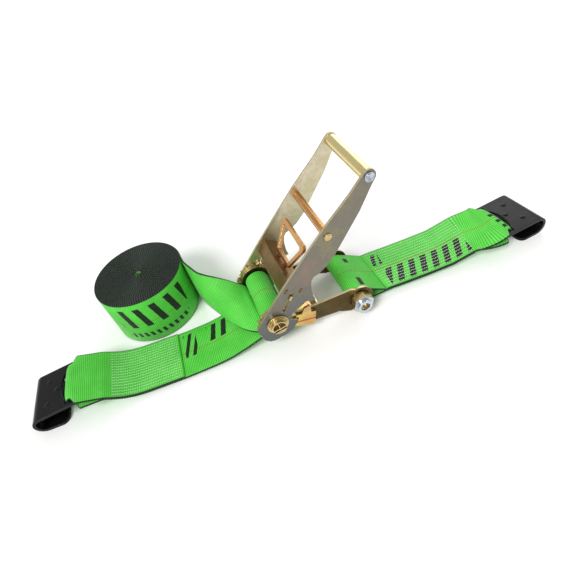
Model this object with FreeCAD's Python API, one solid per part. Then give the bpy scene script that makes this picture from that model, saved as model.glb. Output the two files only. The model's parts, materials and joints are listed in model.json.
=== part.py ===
import FreeCAD, Part
import math
import os

# Ratchet tie down for 4 inch webbing. Millimetres, +Z up, the ground at z = 0.
# The working frame has the mandrel axis along Y at x = 0; every node is moved to
# the middle of the overall box at the end, by ORIGIN_X and ORIGIN_Y.
ORIGIN_X = 40.5
ORIGIN_Y = 75.75

# Webbing
STRAP_W = 101.6          # 4 inch webbing
STRAP_T = 2.7            # one layer
ROLL_R = 81.0
ROLL_X = -194.5
ROLL_Y = 148.0

# Layers across the ratchet, as distances from its middle plane
FRAME_IN = 51.6
FRAME_OUT = 55.6
WHEEL_IN = 55.9
WHEEL_OUT = 60.1
ARM_IN = 60.5
ARM_OUT = 64.5
COLLAR_IN = 64.9
COLLAR_OUT = 70.3
SHAFT_END = 75.0
PIN_Y = 72.2             # cotter pin, outside the collar

# Mandrel and ratchet wheels
MANDREL_Z = 60.0
SHAFT_R = 13.0
SHAFT_GAP = 3.4          # slot the webbing passes through
SHAFT_SLOT = -5.7        # middle of that slot, below the middle of the shaft
SHAFT_TURN = 8.0
RUNNING = 0.05           # radial running clearance of the shaft
DRUM_R = 22.5            # outside of the wound webbing
TEETH = 16
TIP_R = 33.0
ROOT_R = 28.6
PITCH = 360.0 / TEETH

# Anchor end of the frame
ANCHOR_X = 146.7
ANCHOR_Z = 25.0
ANCHOR_END_R = 25.0
SLEEVE_R = 14.5
BOLT_R = 8.0
NUT_FLAT = 16.5          # middle to a flat of the nut and the bolt's head

# Directions seen from the mandrel, in degrees above +X
FRAME_ANGLE = -math.degrees(math.atan2(MANDREL_Z - ANCHOR_Z, ANCHOR_X))
DRIVE_ANGLE = FRAME_ANGLE + 3 * PITCH
ARM_ANGLE = 47.2

# Pawls
PAWL_HALF = 2.2          # half thickness
PAWL_CLEAR = 0.3         # tip to tooth crest at rest
PAWL_IN = 4.2            # travel into a tooth gap
PAWL_BACK = 5.0          # travel away from the wheel

# Handle, along the arm from the mandrel
GRIP_U = 269.0
GRIP_W = 1.5
GRIP_R = 10.0
ROD_U = 168.9
ROD_W = 7.4
ROD_R = 6.5

# Flat hooks
HOOK_W = 90.0
HOOK_T = 5.0
HOOK_SLOT_W = 80.0
HOOK_BAR = 12.0
HOOK_SLOT = 14.5
HOOK_SLOT_R = 55.0       # far edge of the slot is an arc
HOOK_FLANGE = 34.0
HOOK_BEND_R = 17.5       # outside of the bend
HOOK_REACH = 60.0        # crossbar to the middle of the bend
LEFT_TILT = 7.0
RIGHT_TILT = 0.0
HOOK_PLATE_Z = 32.7      # middle of the plate above the bend
LEFT_BAR = (-353.0, 13.0, HOOK_PLATE_Z + HOOK_REACH * math.sin(math.radians(LEFT_TILT)))
RIGHT_BAR = (430.4, -22.5, HOOK_PLATE_Z + HOOK_REACH * math.sin(math.radians(RIGHT_TILT)))
RIGHT_YAW = 5.0          # the right hook is not in line with its strap
LONG_PIVOT = -110.0      # where the long strap starts to slant in plan
SHORT_PIVOT = 210.0      # the same for the short strap
LEFT_SKEW = math.degrees(math.atan2(LEFT_BAR[1], LONG_PIVOT - LEFT_BAR[0]))
RIGHT_SKEW = -4.6
LOOP_R = 8.0             # inside of the webbing loop round a hook's crossbar


def box(x0, x1, y0, y1, z0, z1):
    return Part.makeBox(x1 - x0, y1 - y0, z1 - z0, FreeCAD.Vector(x0, y0, z0))


def rod(radius, y0, y1, x=0.0, z=0.0):
    return Part.makeCylinder(radius, y1 - y0, FreeCAD.Vector(x, y0, z), FreeCAD.Vector(0, 1, 0))


def prism(points, y0, y1):
    """Solid of an outline in XZ, from y0 to y1."""
    corners = [FreeCAD.Vector(x, y0, z) for x, z in points]
    wire = Part.makePolygon(corners + corners[:1])
    return Part.Face(wire).extrude(FreeCAD.Vector(0, y1 - y0, 0))


def turned(shape, angle, x=0.0, z=0.0):
    """Turn a shape about the Y line through (x, z), so that +X rises by the angle."""
    out = shape.copy()
    out.rotate(FreeCAD.Vector(x, 0, z), FreeCAD.Vector(0, -1, 0), angle)
    return out


def at_mandrel(shape, angle):
    """Put a shape drawn along +X from the mandrel at its angle and height."""
    out = turned(shape, angle)
    out.translate(FreeCAD.Vector(0, 0, MANDREL_Z))
    return out


def both_sides(shape):
    """A shape and its mirror image across the middle plane, as one compound."""
    return Part.makeCompound([shape, shape.mirror(FreeCAD.Vector(0, 0, 0), FreeCAD.Vector(0, 1, 0))])


def mirrored(shape):
    return shape.mirror(FreeCAD.Vector(0, 0, 0), FreeCAD.Vector(0, 1, 0))


def frame_plate():
    """Far side plate: round ends at the mandrel and the anchor, slot for the lock pawl."""
    y0, y1 = FRAME_IN, FRAME_OUT
    outline = [(0, 40), (10, 35), (63, 21), (107, 16), (113, 12), (128, 5), (140, 12), (150, 45),
               (134, 53.4), (56, 54.6), (26, 58), (0, 70)]
    plate = prism(outline, y0, y1)
    plate = plate.fuse([rod(27.0, y0, y1, 0, MANDREL_Z), rod(ANCHOR_END_R, y0, y1, ANCHOR_X, ANCHOR_Z)])
    plate = plate.cut(rod(SHAFT_R + RUNNING, y0 - 1, y1 + 1, 0, MANDREL_Z))
    plate = plate.cut(rod(BOLT_R + 0.1, y0 - 1, y1 + 1, ANCHOR_X, ANCHOR_Z))
    slot = box(34.5, 66.5, y0 - 1, y1 + 1, -PAWL_HALF - 0.4, PAWL_HALF + 0.4)
    plate = plate.cut(at_mandrel(slot, FRAME_ANGLE))
    return plate.removeSplitter()


def stay_plate():
    """Cross plate between the frame plates, behind the lock pawl."""
    wall = box(74.0, 77.0, -FRAME_IN, FRAME_IN, -15.0, 7.0)
    foot = box(74.0, 84.0, -FRAME_IN, FRAME_IN, -18.0, -15.0)
    return at_mandrel(wall.fuse(foot).removeSplitter(), FRAME_ANGLE)


def anchor_bolt():
    shank = rod(BOLT_R, -68.5, 58.0, ANCHOR_X, ANCHOR_Z)
    head = hexagon(NUT_FLAT, 58.0, 67.0)
    return shank.fuse(head).removeSplitter()


def hexagon(flat_radius, y0, y1):
    corner = flat_radius / math.cos(math.radians(30))
    points = []
    for k in range(6):
        a = math.radians(60 * k + 17)
        points.append((ANCHOR_X + corner * math.cos(a), ANCHOR_Z + corner * math.sin(a)))
    return prism(points, y0, y1)


def anchor_nut():
    """Lock nut: hexagon with the round collar that holds the nylon ring."""
    nut = hexagon(NUT_FLAT, -72.0, -58.0)
    collar = rod(12.8, -77.5, -72.0, ANCHOR_X, ANCHOR_Z)
    nut = nut.fuse(collar).cut(rod(BOLT_R + 0.05, -80.0, -50.0, ANCHOR_X, ANCHOR_Z))
    return nut.removeSplitter()


def anchor_washer(y0, y1):
    ring = rod(16.0, y0, y1, ANCHOR_X, ANCHOR_Z)
    return ring.cut(rod(BOLT_R + 0.1, y0 - 1, y1 + 1, ANCHOR_X, ANCHOR_Z))


def anchor_sleeve():
    sleeve = rod(SLEEVE_R, -FRAME_IN + 0.05, FRAME_IN - 0.05, ANCHOR_X, ANCHOR_Z)
    return sleeve.cut(rod(BOLT_R + 0.1, -60, 60, ANCHOR_X, ANCHOR_Z))


def mandrel_half(side):
    """One of the two bars that leave the webbing slot between them, hollow at both ends."""
    low, high = (SHAFT_SLOT + SHAFT_GAP / 2, 20.0) if side > 0 else (-20.0, SHAFT_SLOT - SHAFT_GAP / 2)
    bar = rod(SHAFT_R, -SHAFT_END, SHAFT_END).common(box(-20, 20, -80, 80, low, high))
    wall = 2.2
    for y0, y1 in ((-80, 12 - SHAFT_END), (SHAFT_END - 12, 80)):
        bar = bar.cut(rod(SHAFT_R - wall, y0, y1).common(box(-20, 20, -80, 80, low + wall, high - wall)))
    for y in (-PIN_Y, PIN_Y):
        bar = bar.cut(Part.makeCylinder(1.3, 40, FreeCAD.Vector(0, y, -20), FreeCAD.Vector(0, 0, 1)))
    bar.translate(FreeCAD.Vector(0, 0, MANDREL_Z))
    return turned(bar, SHAFT_TURN, 0, MANDREL_Z)


def ratchet_wheel():
    """Toothed wheel; a gap faces each pawl."""
    half_floor = math.degrees((PAWL_HALF + 0.45) / ROOT_R)
    points = []
    for k in range(TEETH):
        base = FRAME_ANGLE + k * PITCH
        corners = ((ROOT_R, -half_floor), (ROOT_R, half_floor), (TIP_R, half_floor + 0.4),
                   (TIP_R, half_floor + 4.4))
        for radius, offset in corners:
            a = math.radians(base + offset)
            points.append((radius * math.cos(a), MANDREL_Z + radius * math.sin(a)))
    wheel = prism(points, WHEEL_IN, WHEEL_OUT)
    return wheel.cut(rod(SHAFT_R + 0.02, WHEEL_IN - 1, WHEEL_OUT + 1, 0, MANDREL_Z))


def end_collar():
    """Ring outside each arm: a broad rim, and a narrower step with notches round it."""
    step = COLLAR_IN + 2.4
    ring = rod(15.9, step, COLLAR_OUT, 0, MANDREL_Z)
    for k in range(8):
        notch = box(14.4, 18.0, step, COLLAR_OUT + 1, -1.3, 1.3)
        ring = ring.cut(at_mandrel(notch, 20 + 45 * k))
    ring = ring.fuse(rod(18.0, COLLAR_IN, step, 0, MANDREL_Z))
    return ring.cut(rod(SHAFT_R + 0.02, COLLAR_IN - 1, COLLAR_OUT + 1, 0, MANDREL_Z))


def cotter_pin():
    """Split pin across the shaft outside each collar, with a round eye and a bent leg."""
    leg = Part.makeCylinder(1.1, 31, FreeCAD.Vector(0, PIN_Y, MANDREL_Z - 15), FreeCAD.Vector(0, 0, 1))
    eye = Part.makeTorus(1.7, 0.9, FreeCAD.Vector(0, PIN_Y, MANDREL_Z + 16.2), FreeCAD.Vector(0, 1, 0))
    bent = Part.makeCylinder(1.0, 5, FreeCAD.Vector(0, PIN_Y, MANDREL_Z - 14.2), FreeCAD.Vector(1, 0, -0.2))
    pin = leg.fuse([eye, bent]).removeSplitter()
    return turned(pin, SHAFT_TURN, 0, MANDREL_Z)


def wound_webbing():
    """Webbing on the mandrel, with the two bars inside it."""
    drum = rod(DRUM_R, -STRAP_W / 2, STRAP_W / 2, 0, MANDREL_Z)
    return drum.cut(rod(SHAFT_R + 0.05, -60, 60, 0, MANDREL_Z))


def arm_outline():
    """Handle arm seen from the side: u along the arm, w across it."""
    return [(0, 28), (58, 27.3), (87, 25.9), (148, 22.5), (179, 20.5), (236, 13.6), (262, 12.6),
            (270, 12.4), (275, 11.0), (279, 7.4), (280.4, 2.2), (278.6, -3.4), (274, -7.6),
            (267, -9.0), (261, -9.4), (221, -16.8), (144, -22.5), (122, -20.5), (106, -15.5),
            (99, -11.0), (92, -11.5), (84, -15.5), (77, -21), (67, -30.3), (61, -38.6), (56, -36),
            (53, -25.5), (39, -20.5), (26, -15), (16, -16)]


def handle_arm():
    y0, y1 = ARM_IN, ARM_OUT
    plate = prism(arm_outline() + [(0, -20), (-20, -10), (-20, 10)], y0, y1)
    foot = rod(34.0, y0, y1).cut(prism([(12, -14.5), (60, -14.5), (60, -60), (20, -60)], y0 - 1, y1 + 1))
    foot = foot.cut(box(-60, 60, y0 - 1, y1 + 1, 28, 60))
    toe = [(-34, 12), (-39, 2), (-39.5, -8), (-36, -15), (-29, -21), (-20, -20), (-20, 12)]
    plate = plate.fuse([foot, prism(toe, y0, y1)])
    plate = plate.cut(rod(SHAFT_R + RUNNING, y0 - 1, y1 + 1))
    slot = box(24.0, 64.0, y0 - 1, y1 + 1, -PAWL_HALF - 0.3, PAWL_HALF + 0.3)
    plate = plate.cut(turned(slot, DRIVE_ANGLE - ARM_ANGLE))
    plate = plate.cut(rod(5.1, y0 - 1, y1 + 1, GRIP_U, GRIP_W))
    plate = plate.cut(rod(5.1, y0 - 1, y1 + 1, ROD_U, ROD_W))
    for start, end, across in bracket_tabs():
        hole = box(start, end, y0 - 1, y1 + 1, across - 1.55, across + 1.55)
        plate = plate.cut(turned(hole, DRIVE_ANGLE - ARM_ANGLE))
    return at_mandrel(plate.removeSplitter(), ARM_ANGLE)


def bracket_tabs():
    """Where the bracket's tabs pass through the arms: start, end, across."""
    return ((60.0, 68.0, 11.3), (65.0, 73.0, -12.5))


def grip_tube():
    tube = rod(GRIP_R, -ARM_IN + 0.05, ARM_IN - 0.05, GRIP_U, GRIP_W)
    return at_mandrel(tube.cut(rod(7.6, -70, 70, GRIP_U, GRIP_W)), ARM_ANGLE)


def riveted_bar(radius, head, u, w):
    """Bar through both arms with a domed head outside each."""
    bar = rod(radius, -ARM_OUT - 0.2, ARM_OUT + 0.2, u, w)
    dome = rod(head, ARM_OUT + 0.05, ARM_OUT + 1.6, u, w)
    crown = rod(head * 0.7, ARM_OUT + 1.6, ARM_OUT + 2.4, u, w)
    cap = dome.fuse(crown)
    bar = bar.fuse([cap, mirrored(cap)])
    return at_mandrel(bar.removeSplitter(), ARM_ANGLE)


def cross_tube():
    """Spacer tube round the cross rod, between the arms."""
    tube = rod(ROD_R, -ARM_IN + 0.05, ARM_IN - 0.05, ROD_U, ROD_W)
    return at_mandrel(tube.cut(rod(5.05, -70, 70, ROD_U, ROD_W)), ARM_ANGLE)


def pawl_bracket():
    """Channel across the handle, open towards the wheels, with tabs through the arms."""
    inner = ARM_IN - 0.05
    upper = box(52.0, 78.0, -inner, inner, 9.8, 12.8)
    lower = box(64.0, 78.0, -inner, inner, -14.0, -11.0)
    web = box(75.0, 78.0, -inner, inner, -14.0, 12.8)
    channel = upper.fuse([lower, web])
    for start, end, across in bracket_tabs():
        tab = box(start + 0.1, end - 0.1, -ARM_OUT - 1.2, ARM_OUT + 1.2, across - 1.45, across + 1.45)
        channel = channel.fuse(tab)
    for y in (-14.0, 14.0):
        channel = channel.cut(box(70.0, 80.0, y - 3.6, y + 3.6, -2.6, 2.6))
    return at_mandrel(channel.removeSplitter(), DRIVE_ANGLE)


def drive_pawl():
    """Sliding plate of the handle: teeth in the wheel planes, ears through the arm slots."""
    tip = TIP_R + PAWL_CLEAR
    plate = box(tip + 4.5, 60.0, -ARM_IN + 0.3, ARM_IN - 0.3, -PAWL_HALF, PAWL_HALF)
    tooth = box(tip, tip + 6.0, WHEEL_IN - 0.2, WHEEL_OUT + 0.1, -PAWL_HALF, PAWL_HALF)
    ear = box(50.0, 58.0, -ARM_OUT - 2.5, ARM_OUT + 2.5, -PAWL_HALF, PAWL_HALF)
    plate = plate.fuse([tooth, mirrored(tooth), ear])
    return at_mandrel(plate.removeSplitter(), DRIVE_ANGLE)


def pull_bail():
    """Finger loop of flat bar, wider away from the pawl, with two stems down to the drive pawl."""
    half = [(83.0, 26.0), (121.0, 42.5), (126.5, 45.6), (131.0, 44.8), (134.0, 40.0)]
    hole = [(88.5, 21.3), (123.0, 36.3), (126.5, 33.0)]
    outer = half + [(u, -w) for u, w in reversed(half)]
    inner = hole + [(u, -w) for u, w in reversed(hole)]
    loop = flat_face(outer).cut(flat_face(inner)).extrude(FreeCAD.Vector(0, 0, 5.0))
    loop.translate(FreeCAD.Vector(0, 0, -2.5))
    stems = [box(60.05, 85.0, y - 2.5, y + 2.5, -PAWL_HALF, PAWL_HALF) for y in (-14.0, 14.0)]
    return at_mandrel(loop.fuse(stems).removeSplitter(), DRIVE_ANGLE)


def flat_face(points):
    corners = [FreeCAD.Vector(x, y, 0) for x, y in points]
    return Part.Face(Part.makePolygon(corners + corners[:1]))


def coil_spring(start, end, angle, turns):
    """Compression spring on the middle line, from start to end along its direction."""
    wire = 0.8
    helix = Part.makeHelix((end - start - 2.4) / turns, end - start - 2.4, 5.0)
    section = Part.Wire(Part.makeCircle(wire, FreeCAD.Vector(5.0, 0, 0), FreeCAD.Vector(0, 1, 0.15)))
    spring = Part.Wire(helix).makePipeShell([section], True, True)
    spring.rotate(FreeCAD.Vector(0, 0, 0), FreeCAD.Vector(0, 1, 0), 90)
    spring.translate(FreeCAD.Vector(start + 1.2, 0, 0))
    return at_mandrel(spring, angle)


def lock_pawl():
    """Sliding plate of the frame, with a folded ear outside each frame plate."""
    tip = TIP_R + PAWL_CLEAR
    y0, y1 = FRAME_OUT + 0.3, WHEEL_OUT + 0.1
    plate = box(40.0, 60.5, -y1, y1, -PAWL_HALF, PAWL_HALF)
    wide = box(tip + 4.5, 66.0, -FRAME_IN + 0.4, FRAME_IN - 0.4, -PAWL_HALF, PAWL_HALF)
    tooth = box(tip, 45.0, y0, y1, -PAWL_HALF, PAWL_HALF)
    ear = prism([(28, -22), (68, -27), (68, 2.2), (28, 2.2)], y0, y1)
    groove = box(27.0, 69.0, y1 - 1.2, y1 + 1, -13.6, -12.2)
    crest = prism([(43, 2.2), (60, 2.2), (57, 18), (47, 14)], y0, y1)
    side = ear.cut(groove).fuse([crest, tooth])
    side = side.cut(rod(TIP_R + PAWL_IN + 0.6, y0 - 1, y1 + 1).cut(box(tip, 60, 50, 70, -2.2, 2.2)))
    pawl = plate.fuse([wide, side, mirrored(side)])
    return at_mandrel(pawl.removeSplitter(), FRAME_ANGLE)


def teardrop(x, z, radius, reach, direction, y0, y1):
    """Round loop that runs to a point at the given reach and direction (degrees)."""
    touch = math.degrees(math.acos(radius / reach))
    points = [(x + reach * math.cos(math.radians(direction)), z + reach * math.sin(math.radians(direction)))]
    steps = 28
    for k in range(steps + 1):
        a = math.radians(direction + touch + (360 - 2 * touch) * k / steps)
        points.append((x + radius * math.cos(a), z + radius * math.sin(a)))
    return prism(points, y0, y1)


def slab(path, thickness, y0, y1):
    """Flat strip of a given thickness along a path of (x, z) points."""
    half = thickness / 2
    upper = [(x, z + half) for x, z in path]
    lower = [(x, z - half) for x, z in reversed(path)]
    return prism(upper + lower, y0, y1)


def plan_mask(points):
    """Tall prism of a plan outline, used to draw the webbing in at the hooks."""
    face = flat_face(points)
    face.translate(FreeCAD.Vector(0, 0, -20))
    return face.extrude(FreeCAD.Vector(0, 0, 200))


def skewed(shape, angle, x):
    """Turn a strap in plan about a vertical line through (x, 0)."""
    out = shape.copy()
    out.rotate(FreeCAD.Vector(x, 0, 0), FreeCAD.Vector(0, 0, 1), angle)
    return out


def drawn_in(bar_x, bar_y, sign, far):
    """Plan of a strap that narrows to the hook slot; sign is the way to the hook."""
    half, tight = STRAP_W / 2, HOOK_SLOT_W / 2 - 2.5
    wide_x = bar_x - sign * 22.0
    tight_x = bar_x - sign * 9.0
    tip_x = bar_x + sign * 30.0
    return plan_mask([(far, -half), (wide_x, -half), (tight_x, bar_y - tight), (tip_x, bar_y - tight),
                      (tip_x, bar_y + tight), (tight_x, bar_y + tight), (wide_x, half), (far, half)])


def with_hook_loop(strap, bar, sign, turn):
    """Add the loop round a hook's crossbar; turn is the hook's yaw against the strap."""
    x, y, z = bar
    aim = 181.0 if sign > 0 else -3.0
    loop = teardrop(x, z, LOOP_R + STRAP_T, 42, aim, y - 60, y + 60)
    gap = teardrop(x, z, LOOP_R, 31, aim, y - 70, y + 70)
    for shape in (loop, gap):
        shape.rotate(FreeCAD.Vector(x, y, 0), FreeCAD.Vector(0, 0, 1), turn)
    return strap.fuse(loop).cut(gap).common(drawn_in(x, y, sign, -sign * 20.0))


def short_strap():
    """Fixed strap: a loop on the anchor sleeve, sewn double, and a loop on the right hook."""
    half = STRAP_W / 2
    skew = math.radians(RIGHT_SKEW)
    dx, dy = RIGHT_BAR[0] - SHORT_PIVOT, RIGHT_BAR[1]
    bar = (SHORT_PIVOT + dx * math.cos(skew) + dy * math.sin(skew),
           dy * math.cos(skew) - dx * math.sin(skew), RIGHT_BAR[2])
    path = [(SHORT_PIVOT - 9, 11.0), (250, 11.0), (330, 14), (bar[0] - 32, bar[2] - 1)]
    body = slab(path, 2 * STRAP_T, -half, half)
    body = with_hook_loop(body, bar, 1, RIGHT_YAW - RIGHT_SKEW)
    body = skewed(body, RIGHT_SKEW, SHORT_PIVOT)
    body = body.fuse(slab([(ANCHOR_X + 30, 11.0), (SHORT_PIVOT + 9, 11.0)], 2 * STRAP_T, -half, half))
    inner = SLEEVE_R + 0.35
    aim = math.degrees(math.atan2(11.0 - ANCHOR_Z, 45.0))
    body = body.fuse(teardrop(ANCHOR_X, ANCHOR_Z, inner + STRAP_T, 50, aim, -half, half))
    body = body.cut(teardrop(ANCHOR_X, ANCHOR_Z, inner, 36, aim, -half - 1, half + 1))
    return body.removeSplitter()


def long_strap():
    """Ratchet strap from the left hook to the mandrel: sewn double, then one layer."""
    half = STRAP_W / 2
    bar = (LONG_PIVOT - math.hypot(LONG_PIVOT - LEFT_BAR[0], LEFT_BAR[1]), 0.0, LEFT_BAR[2])
    double = [(bar[0] + 34, bar[2] - 2), (-298, 27), (-272, 14), (-240, 8), (-174, 7)]
    single = [(-176, 5.0), (LONG_PIVOT - 12, 7.0), (LONG_PIVOT + 9, 7.0)]
    body = slab(double, 2 * STRAP_T, -half, half).fuse(slab(single, STRAP_T, -half, half))
    body = with_hook_loop(body, bar, -1, 0.0)
    body = skewed(body, -LEFT_SKEW, LONG_PIVOT)
    rise = [(LONG_PIVOT - 9, 7.0), (LONG_PIVOT + 12, 7.0), (-60, 17.0), (-24, 29.0), (-8, 35.0)]
    rise = slab(rise, STRAP_T, -half, half).cut(rod(DRUM_R + 0.6, -80, 80, 0, MANDREL_Z))
    return body.fuse(rise).removeSplitter()


def flat_hook(bar, sign, skew, tilt):
    """Flat hook: crossbar, webbing slot, plate, bend and return flange underneath."""
    t = HOOK_T / 2
    slot_end = HOOK_BAR / 2 + HOOK_SLOT
    bend_x, bend_r = HOOK_REACH, HOOK_BEND_R
    half = HOOK_W / 2
    plate = box(-HOOK_BAR / 2, bend_x, -half, half, -t, t)
    opening = box(HOOK_BAR / 2, LOOP_R + STRAP_T + 0.6, -HOOK_SLOT_W / 2, HOOK_SLOT_W / 2, -10, 10)
    bulge = Part.makeCylinder(HOOK_SLOT_R, 20, FreeCAD.Vector(slot_end - HOOK_SLOT_R, 0, -10))
    bulge = bulge.common(box(HOOK_BAR / 2, slot_end + 1, -HOOK_SLOT_W / 2, HOOK_SLOT_W / 2, -10, 10))
    plate = plate.cut(opening.fuse(bulge))
    mid = bend_r - t
    ring = rod(bend_r, -half, half, bend_x, -mid).cut(rod(bend_r - HOOK_T, -60, 60, bend_x, -mid))
    ring = ring.cut(box(bend_x - 40, bend_x, -60, 60, -60, 60))
    tip = bend_x - HOOK_FLANGE
    flange = box(tip, bend_x, -half, half, -2 * mid - t, -2 * mid + t)
    corner = 12.0
    for side in (-1, 1):
        edge = side * half
        cut = box(tip - 1, tip + corner, min(edge, edge - side * corner),
                  max(edge, edge - side * corner), -60, -mid)
        keep = Part.makeCylinder(corner, 60, FreeCAD.Vector(tip + corner, edge - side * corner, -60))
        flange = flange.cut(cut.cut(keep))
    flange = turned(flange, tilt, bend_x, -mid)
    hook = plate.fuse([ring, flange])
    for x, y in ((44.0, -23.0), (44.0, 23.0), (27.5, 0.0)):
        boss = Part.makeSphere(9.0, FreeCAD.Vector(x, y, t - 7.6))
        hook = hook.fuse(boss.common(box(x - 12, x + 12, y - 10, y + 10, 0, 10)))
    hook = turned(hook.removeSplitter(), -tilt)
    if sign < 0:
        hook.rotate(FreeCAD.Vector(0, 0, 0), FreeCAD.Vector(0, 0, 1), 180)
    hook.rotate(FreeCAD.Vector(0, 0, 0), FreeCAD.Vector(0, 0, 1), skew)
    hook.translate(FreeCAD.Vector(*bar))
    return hook


def tail_sections():
    """Edges of the tail: (upper edge), (lower edge) from the drum to the roll."""
    return [((-26.0, 50.0, 62.0), (-24.5, -50.0, 43.5)),
            ((-34.0, 53.0, 69.0), (-36.0, -43.0, 35.5)),
            ((-48.0, 58.5, 79.0), (-53.0, -25.0, 33.0)),
            ((-65.0, 67.0, 88.5), (-68.0, 3.0, 30.0)),
            ((-80.0, 76.0, 94.5), (-81.0, 34.0, 26.0)),
            ((-92.0, 87.0, 98.5), (-92.0, 66.0, 17.0)),
            ((-100.0, 103.5, 101.2), (-101.0, 98.0, 6.0)),
            ((-112.1, 145.0, 101.6), (-112.1, 145.0, 0.5))]


def strap_tail():
    """Free end of the long strap, turning from flat at the drum to upright at the roll."""
    wires = []
    sections = tail_sections()
    middles = [tuple((a + b) / 2 for a, b in zip(up, low)) for up, low in sections]
    for k, (up, low) in enumerate(sections):
        before = FreeCAD.Vector(*middles[max(k - 1, 0)])
        after = FreeCAD.Vector(*middles[min(k + 1, len(middles) - 1)])
        across = FreeCAD.Vector(*up) - FreeCAD.Vector(*low)
        normal = (after - before).cross(across)
        normal.normalize()
        lift = normal * (STRAP_T / 2)
        corners = [FreeCAD.Vector(*up) + lift, FreeCAD.Vector(*low) + lift,
                   FreeCAD.Vector(*low) - lift, FreeCAD.Vector(*up) - lift]
        wires.append(Part.makePolygon(corners + corners[:1]))
    tail = Part.makeLoft(wires, True, True)
    tail = tail.cut(Part.makeCylinder(ROLL_R + 0.05, 120, FreeCAD.Vector(ROLL_X, ROLL_Y, -5)))
    tail = tail.cut(rod(DRUM_R + 0.4, -80, 80, 0, MANDREL_Z))
    return tail


def strap_roll():
    return Part.makeCylinder(ROLL_R, STRAP_W, FreeCAD.Vector(ROLL_X, ROLL_Y, 0))


def build():
    collar, pin = end_collar(), cotter_pin()
    arm, plate, wheel = handle_arm(), frame_plate(), ratchet_wheel()
    nodes = {
        "frame_plate_near": mirrored(plate),
        "frame_plate_far": plate,
        "frame_stay_plate": stay_plate(),
        "anchor_bolt": anchor_bolt(),
        "anchor_sleeve": anchor_sleeve(),
        "anchor_nut": anchor_nut(),
        "anchor_washers": Part.makeCompound([anchor_washer(-57.95, -55.65), anchor_washer(55.65, 57.95)]),
        "lock_pawl": lock_pawl(),
        "lock_pawl_spring": coil_spring(66.1, 73.9, FRAME_ANGLE, 3),
        "mandrel_bar_upper": mandrel_half(1),
        "mandrel_bar_lower": mandrel_half(-1),
        "ratchet_wheel_near": mirrored(wheel),
        "ratchet_wheel_far": wheel,
        "end_collars": both_sides(collar),
        "cotter_pins": both_sides(pin),
        "wound_webbing": wound_webbing(),
        "handle_arm_near": mirrored(arm),
        "handle_arm_far": arm,
        "grip_tube": grip_tube(),
        "grip_rivet_bar": riveted_bar(5.0, 7.5, GRIP_U, GRIP_W),
        "cross_tube": cross_tube(),
        "cross_rivet_bar": riveted_bar(5.0, 5.8, ROD_U, ROD_W),
        "pawl_bracket": pawl_bracket(),
        "drive_pawl": drive_pawl(),
        "pull_bail": pull_bail(),
        "drive_pawl_spring": coil_spring(60.1, 74.9, DRIVE_ANGLE, 4),
        "short_strap": short_strap(),
        "long_strap": long_strap(),
        "strap_tail": strap_tail(),
        "strap_roll": strap_roll(),
        "flat_hook_left": flat_hook(LEFT_BAR, -1, -LEFT_SKEW, LEFT_TILT),
        "flat_hook_right": flat_hook(RIGHT_BAR, 1, RIGHT_YAW, RIGHT_TILT),
    }
    return nodes


def main():
    os.makedirs("parts", exist_ok=True)
    nodes = build()
    low = [1e9] * 3
    high = [-1e9] * 3
    for name, shape in nodes.items():
        shape.translate(FreeCAD.Vector(-ORIGIN_X, -ORIGIN_Y, 0))
        shape.exportStep("parts/%s.step" % name)
        b = shape.BoundBox
        low = [min(low[0], b.XMin), min(low[1], b.YMin), min(low[2], b.ZMin)]
        high = [max(high[0], b.XMax), max(high[1], b.YMax), max(high[2], b.ZMax)]
        print(name, shape.isValid(), len(shape.Solids), round(shape.Volume, 1))
    print("box", [round(v, 2) for v in low], [round(v, 2) for v in high])
    print("middle", [round((a + b) / 2, 2) for a, b in zip(low, high)])


main()
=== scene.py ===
import json
import math
import random

import bmesh
import bpy
from mathutils import Matrix, Vector

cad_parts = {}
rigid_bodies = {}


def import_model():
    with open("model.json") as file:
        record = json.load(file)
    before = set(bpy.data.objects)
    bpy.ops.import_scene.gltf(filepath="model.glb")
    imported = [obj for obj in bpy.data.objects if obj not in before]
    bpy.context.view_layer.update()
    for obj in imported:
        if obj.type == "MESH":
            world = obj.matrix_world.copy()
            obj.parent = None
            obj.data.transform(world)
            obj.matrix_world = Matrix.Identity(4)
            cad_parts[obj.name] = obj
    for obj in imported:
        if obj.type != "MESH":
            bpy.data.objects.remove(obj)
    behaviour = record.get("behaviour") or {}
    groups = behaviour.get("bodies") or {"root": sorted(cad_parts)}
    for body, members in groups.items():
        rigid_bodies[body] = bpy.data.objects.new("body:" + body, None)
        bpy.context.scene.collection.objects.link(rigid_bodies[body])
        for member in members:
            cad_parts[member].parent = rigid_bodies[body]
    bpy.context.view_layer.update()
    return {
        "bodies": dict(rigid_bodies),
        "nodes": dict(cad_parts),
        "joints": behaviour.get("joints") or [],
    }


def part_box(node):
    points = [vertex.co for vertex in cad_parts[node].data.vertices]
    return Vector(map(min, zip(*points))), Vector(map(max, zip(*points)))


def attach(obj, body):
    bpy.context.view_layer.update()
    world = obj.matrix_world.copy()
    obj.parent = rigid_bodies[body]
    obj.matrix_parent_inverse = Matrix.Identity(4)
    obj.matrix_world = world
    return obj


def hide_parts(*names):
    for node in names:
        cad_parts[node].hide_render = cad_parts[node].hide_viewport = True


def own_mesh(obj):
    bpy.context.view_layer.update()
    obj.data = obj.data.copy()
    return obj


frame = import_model()
random.seed(7)

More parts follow.
